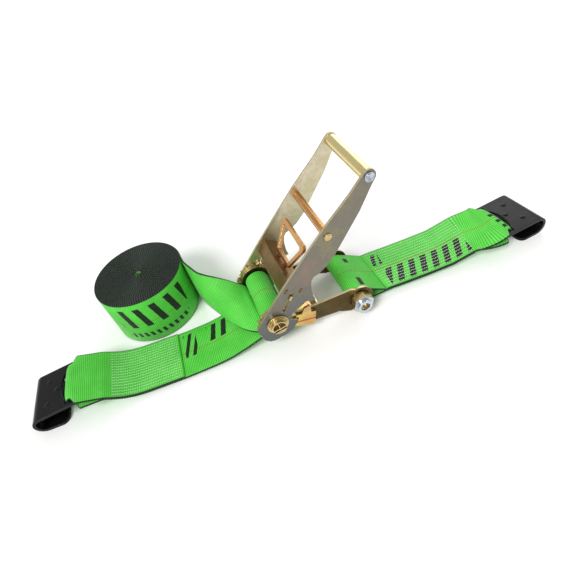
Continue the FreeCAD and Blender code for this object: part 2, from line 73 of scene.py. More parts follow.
MM = 0.001
STRAP_W = 0.1016
STRAP_T = 0.0027
WEFT = 0.003             # pitch of the weave along the webbing
WARP = 0.0016            # pitch of the weave across it
STITCH = 0.0036          # pitch of the zigzag stitches
TIGHT_HALF = 0.0373      # half width where the webbing is drawn into a hook's slot
PRINT_R = 0.0818         # radius on which the roll's print is measured
LOOP_R = 9.6             # middle of the webbing round a hook's crossbar, in mm
LOOP_REACH = 42.0        # crossbar to where the two layers meet, in mm
LAY_STEP = 1.5           # spacing of the cross-sections along a strap, in mm
FRAME_ANGLE = -13.42     # from the mandrel to the anchor, in degrees above +X
DRIVE_ANGLE = FRAME_ANGLE + 67.5

joints = {j["name"]: j for j in frame["joints"]}
hub = Vector(joints["handle_swing"]["pos_m"])
left_bar = Vector(joints["hook_left_swing"]["pos_m"])
right_bar = Vector(joints["hook_right_swing"]["pos_m"])
roll_low, roll_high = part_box("strap_roll")
roll_mid = (roll_low + roll_high) / 2
drum_low, drum_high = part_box("wound_webbing")
DRUM_R = (drum_high.z - drum_low.z) / 2
sleeve_low, sleeve_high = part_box("anchor_sleeve")
anchor = (sleeve_low + sleeve_high) / 2
nut_low_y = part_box("anchor_nut")[0].y
floor_origin = Vector((hub.x, hub.y, 0.0))


def at(x, y, z):
    """A point given in millimetres from the ground point under the mandrel."""
    return floor_origin + Vector((x, y, z)) * MM


# ---------------------------------------------------------------- camera

CAMERA_TURN = (-7.925, 44.94, -17.445)      # azimuth, elevation and roll, in degrees
CAMERA_AIM = (39.573, -16.557, 77.024)      # point in the middle of the view, in mm
CAMERA_REACH = 0.743063
CAMERA_LENS = 28.01


def make_camera():
    az, el, roll = (math.radians(turn) for turn in CAMERA_TURN)
    back = Vector((math.sin(az) * math.cos(el), -math.cos(az) * math.cos(el), math.sin(el)))
    right = (-back).cross(Vector((0, 0, 1))).normalized()
    up = right.cross(-back)
    side = right * math.cos(roll) + up * math.sin(roll)
    top = up * math.cos(roll) - right * math.sin(roll)
    place = at(*CAMERA_AIM) + back * CAMERA_REACH
    data = bpy.data.cameras.new("camera")
    data.sensor_width = 36.0
    data.lens = CAMERA_LENS
    data.clip_start = 0.02
    data.clip_end = 60.0
    cam = bpy.data.objects.new("camera", data)
    bpy.context.scene.collection.objects.link(cam)
    m = Matrix((side, top, back)).transposed().to_4x4()
    m.translation = place
    cam.matrix_world = m
    bpy.context.scene.camera = cam


make_camera()
bpy.context.scene.view_settings.view_transform = "Standard"
bpy.context.scene.view_settings.look = "None"


# ---------------------------------------------------------------- node helpers

class Nodes:
    """Short calls for building one material's node tree."""

    def __init__(self, name):
        self.mat = bpy.data.materials.new(name)
        self.mat.use_nodes = True
        self.tree = self.mat.node_tree
        self.tree.nodes.clear()

    def node(self, kind, **props):
        n = self.tree.nodes.new("ShaderNode" + kind)
        for key, value in props.items():
            setattr(n, key, value)
        return n

    def put(self, socket, value):
        if isinstance(value, bpy.types.NodeSocket):
            self.tree.links.new(value, socket)
        else:
            socket.default_value = value

    def math(self, op, a, b=0.0, c=0.0, clamp=False):
        n = self.node("Math", operation=op, use_clamp=clamp)
        for socket, value in zip(n.inputs, (a, b, c)):
            self.put(socket, value)
        return n.outputs[0]

    def mix(self, share, a, b):
        n = self.node("Mix", data_type="RGBA")
        self.put(n.inputs[0], share)
        self.put(n.inputs[6], a)
        self.put(n.inputs[7], b)
        return n.outputs[2]

    def blend(self, share, a, b):
        n = self.node("Mix", data_type="FLOAT")
        self.put(n.inputs[0], share)
        self.put(n.inputs[2], a)
        self.put(n.inputs[3], b)
        return n.outputs[0]

    def noise(self, where, scale, detail=3.0, rough=0.5):
        n = self.node("TexNoise")
        self.put(n.inputs["Vector"], where)
        n.inputs["Scale"].default_value = scale
        n.inputs["Detail"].default_value = detail
        n.inputs["Roughness"].default_value = rough
        return n.outputs[0]

    def spread(self, value, low, high):
        """0 at low and 1 at high, held outside."""
        n = self.node("MapRange")
        self.put(n.inputs[0], value)
        n.inputs[1].default_value = low
        n.inputs[2].default_value = high
        return n.outputs[0]

    def ramp(self, value, stops):
        n = self.node("ValToRGB")
        self.put(n.inputs[0], value)
        band = n.color_ramp
        while len(band.elements) < len(stops):
            band.elements.new(0.5)
        for e, (place, colour) in zip(band.elements, stops):
            e.position = place
            e.color = colour
        return n.outputs[0]

    def bump(self, height, strength, distance, normal=None):
        n = self.node("Bump")
        n.inputs["Strength"].default_value = strength
        n.inputs["Distance"].default_value = distance
        self.put(n.inputs["Height"], height)
        if normal is not None:
            self.put(n.inputs["Normal"], normal)
        return n.outputs[0]

    def finish(self, **inputs):
        shader = self.node("BsdfPrincipled")
        for key, value in inputs.items():
            self.put(shader.inputs[key.replace("_", " ")], value)
        out = self.node("OutputMaterial")
        self.tree.links.new(shader.outputs[0], out.inputs[0])
        return self.mat


def rgb(r, g, b):
    """A colour given as it looks on screen (0-255), as scene-linear values."""
    out = []
    for v in (r, g, b):
        v /= 255.0
        out.append(v / 12.92 if v <= 0.04045 else ((v + 0.055) / 1.055) ** 2.4)
    return (*out, 1.0)


# ---------------------------------------------------------------- webbing material

def stripes(n, u, v, span, across, pitch, duty, slant):
    """Mask of slanted bars: span and across are ranges along and across the webbing."""
    shifted = n.math("MULTIPLY_ADD", u, slant, v)
    part = n.math("FRACT", n.math("DIVIDE", n.math("SUBTRACT", shifted, span[0]), pitch))
    mask = n.math("LESS_THAN", part, duty)
    for value, (low, high) in ((v, span), (u, across)):
        mask = n.math("MULTIPLY", mask, n.math("GREATER_THAN", value, low))
        mask = n.math("MULTIPLY", mask, n.math("LESS_THAN", value, high))
    return mask


def webbing(name, prints=(), tracer=True, printed_side=1):
    """Woven polyester. UV is in metres: across from 0 to the width, and along. The lower face
    is stored one metre to the left, so the print and the tracer can keep to one face."""
    n = Nodes(name)
    uv = n.node("UVMap", uv_map="strap").outputs[0]
    parts = n.node("SeparateXYZ")
    n.put(parts.inputs[0], uv)
    raw, v = parts.outputs[0], parts.outputs[1]
    below = n.math("LESS_THAN", raw, -0.5)
    u = n.math("ADD", raw, below)
    face = below if printed_side < 0 else n.math("SUBTRACT", 1.0, below)
    cover = n.node("CombineXYZ")
    n.put(cover.inputs[0], u)
    n.put(cover.inputs[1], v)
    where = cover.outputs[0]

    weft = n.math("ABSOLUTE", n.math("SINE", n.math("MULTIPLY", v, math.pi / WEFT)))
    column = n.math("FLOOR", n.math("DIVIDE", u, WARP))
    stagger = n.math("MULTIPLY", n.math("MODULO", column, 2.0), 0.0006)
    warp = n.math("ABSOLUTE", n.math("SINE", n.math("MULTIPLY", u, math.pi / WARP)))
    knots = n.math("SINE", n.math("MULTIPLY", n.math("ADD", v, stagger), 2 * math.pi / WEFT))
    height = n.math("MULTIPLY_ADD", warp, 0.5, n.math("MULTIPLY", weft, 0.8))
    height = n.math("MULTIPLY_ADD", knots, 0.12, height)
    broad = n.noise(where, 24.0, 2.0)
    fine = n.noise(where, 900.0, 2.0, 0.7)
    fibre = n.node("Mapping", vector_type="POINT")
    n.put(fibre.inputs[0], where)
    fibre.inputs["Scale"].default_value = (1.0, 0.08, 1.0)
    thread = n.noise(fibre.outputs[0], 1400.0, 2.0, 0.6)

    green = n.mix(n.spread(broad, 0.3, 0.7), rgb(82, 206, 62), rgb(102, 224, 80))
    # Darker green in the valleys between the weft ribs and the warp threads: painted shade in the weave, over
    # the darker gaps between the yarns.
    green = n.mix(n.math("MULTIPLY", n.spread(weft, 0.72, 0.1), 0.68), green, rgb(18, 104, 20))
    green = n.mix(n.math("MULTIPLY", n.spread(warp, 0.5, 0.1), 0.25), green, rgb(28, 118, 26))
    # Pale green streaks along the fibres: painted sheen on the threads.
    green = n.mix(n.math("MULTIPLY", n.spread(thread, 0.55, 0.8), 0.3), green, rgb(160, 236, 140))
    if tracer:
        off = n.math("ABSOLUTE", n.math("SUBTRACT", u, STRAP_W / 2))
        line = n.math("MULTIPLY", n.math("LESS_THAN", off, 0.0008), face)
        line = n.math("MULTIPLY", line, n.spread(weft, 0.1, 0.4))
        green = n.mix(n.math("MULTIPLY", line, 0.75), green, rgb(150, 84, 34))
    ink = None
    for span, across, pitch, duty, slant in prints:
        mask = stripes(n, u, v, span, across, pitch, duty, slant)
        ink = mask if ink is None else n.math("MAXIMUM", ink, mask)
    if ink is not None:
        ink = n.math("MULTIPLY", ink, face)
        ink = n.math("MULTIPLY", ink, n.spread(fine, 0.22, 0.36))
        ink = n.math("MULTIPLY", ink, n.spread(height, 0.05, 0.3))
        green = n.mix(ink, green, rgb(22, 24, 22))
    rim = n.math("SUBTRACT", STRAP_W / 2, n.math("ABSOLUTE", n.math("SUBTRACT", u, STRAP_W / 2)))
    selvage = n.spread(rim, 0.0023, 0.0017)
    # Lighter grey-green on the ridges of the black selvage: painted highlight.
    selvage_ridge_highlight = n.spread(n.math("SINE", n.math("MULTIPLY", v, 2 * math.pi / 0.0042)), 0.1, 0.8)
    black = n.mix(n.math("MULTIPLY", selvage_ridge_highlight, n.spread(thread, 0.2, 0.5)), rgb(9, 11, 10), rgb(58, 74, 60))
    colour = n.mix(selvage, green, black)
    shine = n.blend(n.spread(thread, 0.4, 0.7), 0.62, 0.42)
    total = n.math("MULTIPLY_ADD", fine, 0.25, height)
    return n.finish(
        Base_Color=colour,
        Roughness=shine,
        Specular_IOR_Level=0.25,
        Sheen_Weight=0.1,
        Sheen_Roughness=0.4,
        Normal=n.bump(total, 0.7, 0.0005),
    )


def thread_material():
    n = Nodes("stitch_thread")
    where = n.node("TexCoord").outputs["Object"]
    grain = n.noise(where, 2600.0, 2.0, 0.6)
    patch = n.noise(where, 60.0, 2.0)
    colour = n.mix(n.spread(grain, 0.35, 0.7), rgb(176, 220, 166), rgb(238, 248, 232))
    colour = n.mix(n.math("MULTIPLY", n.spread(patch, 0.5, 0.7), 0.3), colour, rgb(104, 190, 88))
    return n.finish(Base_Color=colour, Roughness=0.5, Sheen_Weight=0.3,
                    Normal=n.bump(grain, 0.4, 0.0002))


# ---------------------------------------------------------------- metal materials

def edge_mask(n, radius, low=0.02, high=0.2):
    """1 along convex and concave edges, from the difference between rounded and flat normals."""
    rounded = n.node("Bevel", samples=6)
    rounded.inputs["Radius"].default_value = radius
    flat = n.node("NewGeometry").outputs["Normal"]
    dot = n.node("VectorMath", operation="DOT_PRODUCT")
    n.put(dot.inputs[0], rounded.outputs[0])
    n.put(dot.inputs[1], flat)
    return n.spread(n.math("SUBTRACT", 1.0, dot.outputs["Value"]), low, high), rounded.outputs[0]


def plated(name, stops, edge_highlight, roughness=(0.3, 0.46), grain_bump=0.2, tints=(), bands=(), rim=None):
    """Zinc plating with drifting passivation colours. tints are (axis, low, high, colour, share);
    bands are (direction, middle, half width, colour); rim is a painted highlight colour for a plate's side
    faces, and the edge colour a painted highlight along its edges."""
    n = Nodes(name)
    where = n.node("TexCoord").outputs["Object"]
    drift = n.noise(where, 22.0, 4.0, 0.6)
    small = n.noise(where, 190.0, 3.0, 0.6)
    grit = n.noise(where, 1500.0, 2.0, 0.6)
    mixed = n.math("MULTIPLY_ADD", small, 0.22, n.math("MULTIPLY", drift, 0.86))
    colour = n.ramp(mixed, stops)
    parts = n.node("SeparateXYZ")
    n.put(parts.inputs[0], where)
    for axis, low, high, tint, share in tints:
        mask = n.math("MULTIPLY", n.spread(parts.outputs[axis], low, high), share)
        colour = n.mix(mask, colour, tint)
    # Side faces of a plate mixed towards rim: painted highlight on the plate's edges.
    if rim:
        facing = n.node("SeparateXYZ")
        n.put(facing.inputs[0], n.node("NewGeometry").outputs["True Normal"])
        side = n.math("ABSOLUTE", facing.outputs[1])
        colour = n.mix(n.math("MULTIPLY", n.spread(side, 0.6, 0.4), 0.8), colour, rim)
    for direction, middle, half, tint in bands:
        dot = n.node("VectorMath", operation="DOT_PRODUCT")
        n.put(dot.inputs[0], where)
        dot.inputs[1].default_value = direction
        off = n.math("ABSOLUTE", n.math("SUBTRACT", dot.outputs["Value"], middle))
        colour = n.mix(n.spread(off, half, half * 0.6), colour, tint)
    colour = n.mix(n.math("MULTIPLY", n.spread(grit, 0.58, 0.78), 0.2), colour, rgb(96, 84, 60))
    # Lighter colour along the edges found by the bevel: painted highlight.
    mask, normal = edge_mask(n, 0.0007)
    colour = n.mix(n.math("MULTIPLY", mask, 0.7), colour, edge_highlight)
    rough = n.blend(n.spread(small, 0.35, 0.7), *roughness)
    height = n.math("MULTIPLY_ADD", grit, 0.5, small)
    return n.finish(Base_Color=colour, Metallic=1.0, Roughness=rough,
                    Normal=n.bump(height, grain_bump, 0.0003, normal))


def painted(name):
    n = Nodes(name)
    where = n.node("TexCoord").outputs["Object"]
    peel = n.noise(where, 420.0, 2.0, 0.55)
    patch = n.noise(where, 30.0, 3.0, 0.6)
    chips = n.noise(where, 240.0, 3.0, 0.7)
    mask, normal = edge_mask(n, 0.0011)
    colour = n.mix(n.spread(patch, 0.35, 0.7), rgb(7, 6, 8), rgb(15, 14, 16))
    worn = n.math("MULTIPLY", mask, n.spread(chips, 0.45, 0.62))
    colour = n.mix(n.math("MULTIPLY", worn, 0.5), colour, rgb(112, 108, 106))
    rough = n.blend(n.spread(patch, 0.3, 0.7), 0.26, 0.4)
    return n.finish(Base_Color=colour, Metallic=0.0, Roughness=rough, Specular_IOR_Level=0.22,
                    Normal=n.bump(peel, 0.12, 0.0004, normal))


def bright(name):
    n = Nodes(name)
    where = n.node("TexCoord").outputs["Object"]
    drift = n.noise(where, 120.0, 3.0, 0.6)
    grit = n.noise(where, 1800.0, 2.0, 0.6)
    mask, normal = edge_mask(n, 0.0005)
    base = n.mix(n.spread(drift, 0.35, 0.7), rgb(196, 204, 214), rgb(120, 128, 140))
    # Whiter along the edges found by the bevel: painted highlight.
    base = n.mix(n.math("MULTIPLY", mask, 0.5), base, rgb(236, 240, 244))
    return n.finish(Base_Color=base, Metallic=1.0, Roughness=n.blend(grit, 0.18, 0.36),
                    Normal=n.bump(grit, 0.15, 0.0002, normal))


def four(*colours):
    """Colour stops spread over the drift of the plating."""
    return list(zip((0.25, 0.43, 0.58, 0.74), (rgb(*c) for c in colours)))


gold_stops = four((146, 126, 88), (206, 186, 138), (188, 174, 128), (198, 158, 120))
arm_stops = four((106, 100, 82), (138, 131, 108), (126, 122, 112), (146, 126, 112))
# Lighter copy of arm_stops for the far arm, whose inner face faces the front light: painted light.
lit_far_arm_stops = four((168, 156, 134), (216, 204, 182), (198, 190, 156), (208, 184, 168))
frame_stops = four((54, 46, 26), (84, 70, 42), (98, 84, 50), (70, 64, 50))
copper_stops = four((186, 130, 78), (222, 170, 106), (208, 152, 98), (206, 172, 118))
grip_stops = four((184, 172, 130), (228, 216, 174), (238, 220, 150), (206, 196, 160))
bronze_stops = four((104, 78, 50), (146, 110, 70), (122, 98, 62), (176, 132, 84))
pawl_stops = four((196, 170, 80), (226, 202, 104), (214, 186, 112), (212, 150, 100))
nut_stops = four((176, 158, 116), (226, 212, 172), (212, 198, 158), (222, 192, 150))

hub_grey = (2, 0.135, 0.045, rgb(98, 103, 110), 0.75)
silver_collar = (1, nut_low_y + 0.0062, nut_low_y + 0.0054, rgb(196, 206, 216), 1.0)
# Colour for the side faces of the plates: painted highlight.
rim_highlight = rgb(222, 204, 166)
pawl_slope = math.radians(FRAME_ANGLE)
pawl_across = (-math.sin(pawl_slope), 0.0, math.cos(pawl_slope))
crease_line = (pawl_across, hub.dot(Vector(pawl_across)) - 0.0129, 0.0022, rgb(206, 122, 76))
crest_pink = (2, 0.0525, 0.0555, rgb(206, 160, 124), 0.85)
metals = {
    "zinc_arm": plated("zinc_arm", arm_stops, rgb(226, 214, 184), tints=(hub_grey,), rim=rim_highlight),
    "zinc_frame": plated("zinc_frame", frame_stops, rgb(222, 200, 150), rim=rim_highlight),
    "zinc_copper": plated("zinc_copper", copper_stops, rgb(240, 214, 170), (0.2, 0.32), grain_bump=0.06),
    "zinc_gold": plated("zinc_gold", gold_stops, rgb(240, 216, 150), (0.24, 0.4)),
    "bright_steel": bright("bright_steel"),
    "hook_paint": painted("hook_paint"),
}
own_metals = {
    # The far arm uses the lighter, lit copy of the arm plating: painted light.
    "handle_arm_far": plated("zinc_arm_far_lit", lit_far_arm_stops, rgb(236, 224, 196), rim=rim_highlight),
    "grip_tube": plated("zinc_grip", grip_stops, rgb(244, 230, 190), (0.2, 0.32), grain_bump=0.06),
    "pawl_bracket": plated("zinc_bronze", bronze_stops, rgb(226, 196, 140)),
    "lock_pawl": plated("zinc_pawl", pawl_stops, rgb(244, 232, 180), (0.26, 0.4),
                        tints=(crest_pink,), bands=(crease_line,)),
    "anchor_nut": plated("zinc_nut", nut_stops, rgb(240, 230, 200), (0.22, 0.36), tints=(silver_collar,)),
}


def dress_cad():
    """The CAD pieces that stay in view get the finish of their slot, or one of their own."""
    for name, obj in frame["nodes"].items():
        for slot in obj.material_slots:
            base = slot.material.name.split(".")[0] if slot.material else ""
            if name in own_metals:
                slot.material = own_metals[name]
            elif base in metals:
                slot.material = metals[base]


dress_cad()


# ---------------------------------------------------------------- ribbons

def new_object(name, verts, faces, material):
    """Smooth-shaded mesh object, linked to the scene."""
    mesh = bpy.data.meshes.new(name)
    mesh.from_pydata(verts, [], faces)
    mesh.polygons.foreach_set("use_smooth", [True] * len(mesh.polygons))
    mesh.materials.append(material)
    obj = bpy.data.objects.new(name, mesh)
    bpy.context.scene.collection.objects.link(obj)
    return obj


def unit_profile(coarse):
    """Cross-section of the webbing: (across from -1 to 1, thickness from -1 to 1), upper side first."""
    if coarse:
        marks = [(-1.0, 0.4), (-0.975, 1.0), (0.975, 1.0), (1.0, 0.4)]
    else:
        inner = [-0.93, -0.8, -0.6, -0.4, -0.2, 0.0, 0.2, 0.4, 0.6, 0.8, 0.93]
        marks = [(-1.0, 0.4), (-0.98, 1.0)] + [(a, 1.0) for a in inner] + [(0.98, 1.0), (1.0, 0.4)]
    return marks + [(a, -t) for a, t in reversed(marks)]


class Station:
    """One cross-section of a ribbon."""

    def __init__(self, centre, across, half=STRAP_W / 2, curl=0.0):
        self.centre = centre
        self.across = across.normalized()
        self.half = half
        self.curl = curl
        self.belly = 0.0
        self.normal = Vector((0, 0, 1))
        self.v = 0.0

    def point(self, a, lift):
        """Point at the share a of the half width, at a height over the middle surface."""
        lift += self.curl * abs(a) ** 5 + self.belly * (1 - a * a)
        return self.centre + self.across * (a * self.half) + self.normal * lift


def lay_out(stations, square=True):
    """Works out normals and the distance along for a list of stations."""
    v = 0.0
    for k, s in enumerate(stations):
        before = stations[max(k - 1, 0)].centre
        after = stations[min(k + 1, len(stations) - 1)].centre
        tangent = (after - before).normalized()
        if square:
            s.across = (s.across - tangent * s.across.dot(tangent)).normalized()
        s.normal = s.across.cross(tangent).normalized()
        if k:
            v += (s.centre - before).length
        s.v = v
    return v


def ribbon(name, stations, material, thickness=STRAP_T, coarse=False):
    """Closed strip of webbing through the stations, with UVs in metres."""
    profile = unit_profile(coarse)
    verts, faces, uvs = [], [], []
    rows = len(profile)
    top = rows // 2
    for s in stations:
        for a, t in profile:
            verts.append(s.point(a, t * thickness / 2))
    for k in range(len(stations) - 1):
        lo, hi = stations[k].v, stations[k + 1].v
        for i in range(rows):
            j = (i + 1) % rows
            faces.append((k * rows + i, k * rows + j, (k + 1) * rows + j, (k + 1) * rows + i))
            shift = 0.0 if i < top - 1 or i == rows - 1 else -1.0
            a, b = ((1 + profile[x][0]) * STRAP_W / 2 + shift for x in (i, j))
            uvs += [(a, lo), (b, lo), (b, hi), (a, hi)]
    for k, order in ((0, range(rows - 1, -1, -1)), (len(stations) - 1, range(rows))):
        faces.append(tuple(k * rows + i for i in order))
        uvs += [(0.03, stations[k].v)] * rows
    obj = new_object(name, verts, faces, material)
    mesh = obj.data
    layer = mesh.uv_layers.new(name="strap")
    for loop, uv in zip(layer.data, uvs):
        loop.uv = uv
    bm = bmesh.new()
    bm.from_mesh(mesh)
    if bm.calc_volume(signed=True) < 0:
        bmesh.ops.reverse_faces(bm, faces=bm.faces)
        bm.to_mesh(mesh)
    bm.free()
    return obj


def arc(cx, cz, radius, start, end, steps):
    """Points of a circle in a side view, angles in degrees."""
    out = []
    for k in range(steps + 1):
        a = math.radians(start + (end - start) * k / steps)
        out.append((cx + radius * math.cos(a), cz + radius * math.sin(a)))
    return out


def evenly(points, step):
    """A side-view path again, with points about step apart."""
    out, left = [points[0]], step
    for (x0, z0), (x1, z1) in zip(points, points[1:]):
        length = math.hypot(x1 - x0, z1 - z0)
        done = 0.0
        while length - done >= left:
            done += left
            share = done / length
            out.append((x0 + (x1 - x0) * share, z0 + (z1 - z0) * share))
            left = step
        left -= length - done
    out.append(points[-1])
    return out


def smooth(points, times):
    """Rounds a path, keeping its ends."""
    for _ in range(times):
        middle = [((a[0] + 2 * b[0] + c[0]) / 4, (a[1] + 2 * b[1] + c[1]) / 4)
                  for a, b, c in zip(points, points[1:], points[2:])]
        points = [points[0]] + middle + [points[-1]]
    return points


def relaxed(path):
    path = smooth(evenly(path, LAY_STEP), 6)
    return path


def tangent_angle(radius, reach):
    """Degrees at the middle of a circle between a point at that reach and where its tangent touches."""
    return math.degrees(math.acos(radius / reach))


def stitches(name, stations, low_v, high_v, rows, side, body, material):
    """Rows of zigzag stitches lying on one face of a ribbon, as one mesh."""
    verts, faces = [], []
    lift = side * (STRAP_T / 2 + 0.00012)

    def spot(v, a):
        for p, q in zip(stations, stations[1:]):
            if min(p.v, q.v) <= v <= max(p.v, q.v):
                share = (v - p.v) / (q.v - p.v)
                return p.point(a, lift).lerp(q.point(a, lift), share), p.normal * side
        return None, None

    for r in range(rows):
        a = -0.86 + 1.72 * r / (rows - 1)
        count = int((high_v - low_v) / STITCH)
        for k in range(count):
            lean = 0.02 if k % 2 else -0.02
            v0 = low_v + (k + 0.1) * STITCH
            p0, up = spot(v0, a - lean)
            p1, _ = spot(v0 + STITCH * 0.8, a + lean)
            if p0 is None or p1 is None:
                continue
            along = (p1 - p0).normalized()
            wide = along.cross(up).normalized() * 0.00058
            tall = up * 0.0005
            base = len(verts)
            for share, grow in ((0.0, 0.35), (0.25, 1.0), (0.75, 1.0), (1.0, 0.35)):
                c = p0.lerp(p1, share)
                verts.extend((c - wide * grow, c + tall * grow, c + wide * grow))
            for s in range(3):
                o = base + 3 * s
                for i in range(3):
                    j = (i + 1) % 3
                    faces.append((o + i, o + j, o + 3 + j, o + 3 + i))
            faces.append((base + 2, base + 1, base))
            faces.append((base + 9, base + 10, base + 11))
    obj = new_object(name, verts, faces, material)
    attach(obj, body)
    return obj


thread = thread_material()


# ---------------------------------------------------------------- short strap

def ease(value):
    """Smooth step from 0 to 1."""
    value = min(max(value, 0.0), 1.0)
    return value * value * (3 - 2 * value)


def hook_width(distance):
    """Half width and curl of the webbing at a distance before a hook's crossbar, in mm."""
    share = ease((11.0 - distance) / 10.0)
    half = (STRAP_W / 2) * (1 - share) + TIGHT_HALF * share
    return half, share


def plan_point(x, y, angle, along):
    """Point at a distance along a direction in plan, in mm."""
    return x + along * math.cos(angle), y + along * math.sin(angle)


def build_short_strap():
    """From its sewn end, round the anchor sleeve, out to the hook, round its bar and back."""
    ax, az = (anchor.x - floor_origin.x) / MM, anchor.z / MM
    pivot = ax + 63.3
    skew = math.radians(-4.6)
    hook_axis = joints["hook_right_swing"]["axis"]
    yaw = math.atan2(hook_axis[0], -hook_axis[1])
    dx, dy = (right_bar.x - floor_origin.x) / MM - pivot, (right_bar.y - floor_origin.y) / MM
    bar_x = pivot + dx * math.cos(skew) + dy * math.sin(skew)
    bar_z = right_bar.z / MM
    half_t = STRAP_T / MM / 2
    core = [(pivot - 11, 11.0), (pivot + 12, 11.0), (250, 11.0), (290, 12.0), (330, 14.2),
            (bar_x - 48, bar_z - 4.4)]
    sleeve_r = 16.3
    tip_a = (191.7, 11.0)
    reach_a = math.hypot(tip_a[0] - ax, tip_a[1] - az)
    aim_a = math.degrees(math.atan2(tip_a[1] - az, tip_a[0] - ax))
    touch_a = tangent_angle(sleeve_r, reach_a)
    touch_b = tangent_angle(LOOP_R, LOOP_REACH)
    top = [(x, z + half_t) for x, z in core]
    low = [(x, z - half_t) for x, z in core]
    end = 198.5
    path = [(end, 11.0 + half_t)] + arc(ax, az, sleeve_r, aim_a + touch_a, aim_a + 360 - touch_a, 40)
    path += low + arc(bar_x, bar_z, LOOP_R, 181 + touch_b, 181 + 360 - touch_b, 36) + list(reversed(top))
    path += [(end + 1.2, 11.0 + half_t)]
    stations = []
    for x, z in relaxed(path):
        share = ease((x - pivot + 12.0) / 24.0)
        px, py = plan_point(pivot, 0.0, skew * share, x - pivot)
        half, curl = hook_width(bar_x - x)
        turn = ease((60.0 - (bar_x - x)) / 46.0)
        hx, hy = plan_point(pivot + dx, dy, yaw, x - bar_x)
        px, py = px + (hx - px) * turn, py + (hy - py) * turn
        angle = skew * share + (yaw - skew) * turn
        across = Vector((-math.sin(angle), math.cos(angle), 0))
        stations.append(Station(at(px, py, z), across, half, -0.0035 * curl))
    length = lay_out(stations)
    fold = max(s.v for s in stations if s.centre.x > right_bar.x + 0.004)
    prints = [
        ((length - 0.172, length - 0.018), (0.006, 0.046), 0.022, 0.52, 0.35),
        ((length - 0.024, length - 0.006), (0.060, 0.090), 0.012, 0.5, 0.2),
        ((fold, fold + 0.008), (0.010, 0.020), 0.1, 1.0, 0.0),
        ((fold, fold + 0.008), (0.031, 0.041), 0.1, 1.0, 0.0),
        ((fold, fold + 0.008), (0.057, 0.067), 0.1, 1.0, 0.0),
        ((0.0395, 0.0490), (0.012, 0.032), 0.1, 1.0, 0.0),
        ((0.0395, 0.0490), (0.076, 0.088), 0.1, 1.0, 0.0),
    ]
    obj = ribbon("short_strap_webbing", stations, webbing("webbing_short", prints, True, 1))
    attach(obj, "frame")
    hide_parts("short_strap")
    sewn = stitches("short_strap_stitching", stations, length - 0.178, length - 0.004, 14, 1, "frame", thread)
    return length


# ---------------------------------------------------------------- long strap

def build_long_strap():
    """From the mandrel down and out to the hook, round its bar and back to the sewn end."""
    pivot = -110.0
    dx, dy = (left_bar.x - floor_origin.x) / MM - pivot, (left_bar.y - floor_origin.y) / MM
    skew = math.atan2(-dy, -dx)
    bar_x, bar_z = pivot - math.hypot(dx, dy), left_bar.z / MM
    half_t = STRAP_T / MM / 2
    drum_c = DRUM_R / MM + half_t + 0.3
    core = [(-165, 6.6), (-200, 7.2), (-240, 8.3), (-258, 10.6), (-276, 16.0), (-291, 24.0),
            (bar_x + 50, bar_z - 8.0)]
    touch = tangent_angle(LOOP_R, LOOP_REACH)
    single = arc(0, hub.z / MM, drum_c, -62, -112, 14)
    single += [(-24, 28.4), (-60, 17.0), (-90, 9.6), (-120, 7.0), (-150, 5.6), (-172, 5.0)]
    low = [(x, z - half_t) for x, z in core[1:]]
    top = [(x, z + half_t + 0.15) for x, z in core[1:]]
    end = -173.5
    path = single + low + arc(bar_x, bar_z, LOOP_R, -3 - touch, -3 - 360 + touch, 36)
    path += list(reversed(top)) + [(end, 5.0 + 2 * half_t + 0.2)]
    stations = []
    for x, z in relaxed(path):
        half, curl = hook_width(x - bar_x)
        angle = skew * ease((pivot + 12.0 - x) / 24.0)
        px, py = plan_point(pivot, 0.0, angle, x - pivot)
        across = Vector((-math.sin(angle), math.cos(angle), 0))
        stations.append(Station(at(px, py, z), across, half, 0.0035 * curl))
    length = lay_out(stations)
    sewn_from = next(s.v for s in stations if s.centre.x < at(-171, 0, 0).x)
    prints = [
        ((sewn_from - 0.092, sewn_from - 0.050), (0.056, 0.092), 0.021, 0.5, 0.25),
        ((sewn_from - 0.030, sewn_from - 0.006), (0.040, 0.092), 0.015, 0.45, 0.25),
    ]
    obj = ribbon("long_strap_webbing", stations, webbing("webbing_long", prints, True, 1))
    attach(obj, "frame")
    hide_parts("long_strap")
    sewn = stitches("long_strap_stitching", stations, length - 0.122, length - 0.003, 16, -1, "frame", thread)
    return length


# ---------------------------------------------------------------- drum

def build_drum():
    """The webbing wound on the mandrel, as one spiral."""
    hub_z = hub.z / MM
    outer, inner = DRUM_R / MM - 1.45, 14.6
    turns = (outer - inner) / 2.72
    steps = int(turns * (72))
    start = 5.0
    stations = []
    for k in range(steps + 1):
        share = k / steps
        angle = math.radians(start - 360 * turns * share)
        radius = outer + (inner - outer) * share
        stations.append(Station(at(radius * math.cos(angle), 0, hub_z + radius * math.sin(angle)),
                                Vector((0, 1, 0)), STRAP_W / 2 - 0.0004))
    length = lay_out(stations)
    obj = ribbon("drum_webbing", stations, webbing("webbing_drum", (), True, -1))
    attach(obj, "mandrel")
    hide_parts("wound_webbing")
    return length


# ---------------------------------------------------------------- tail

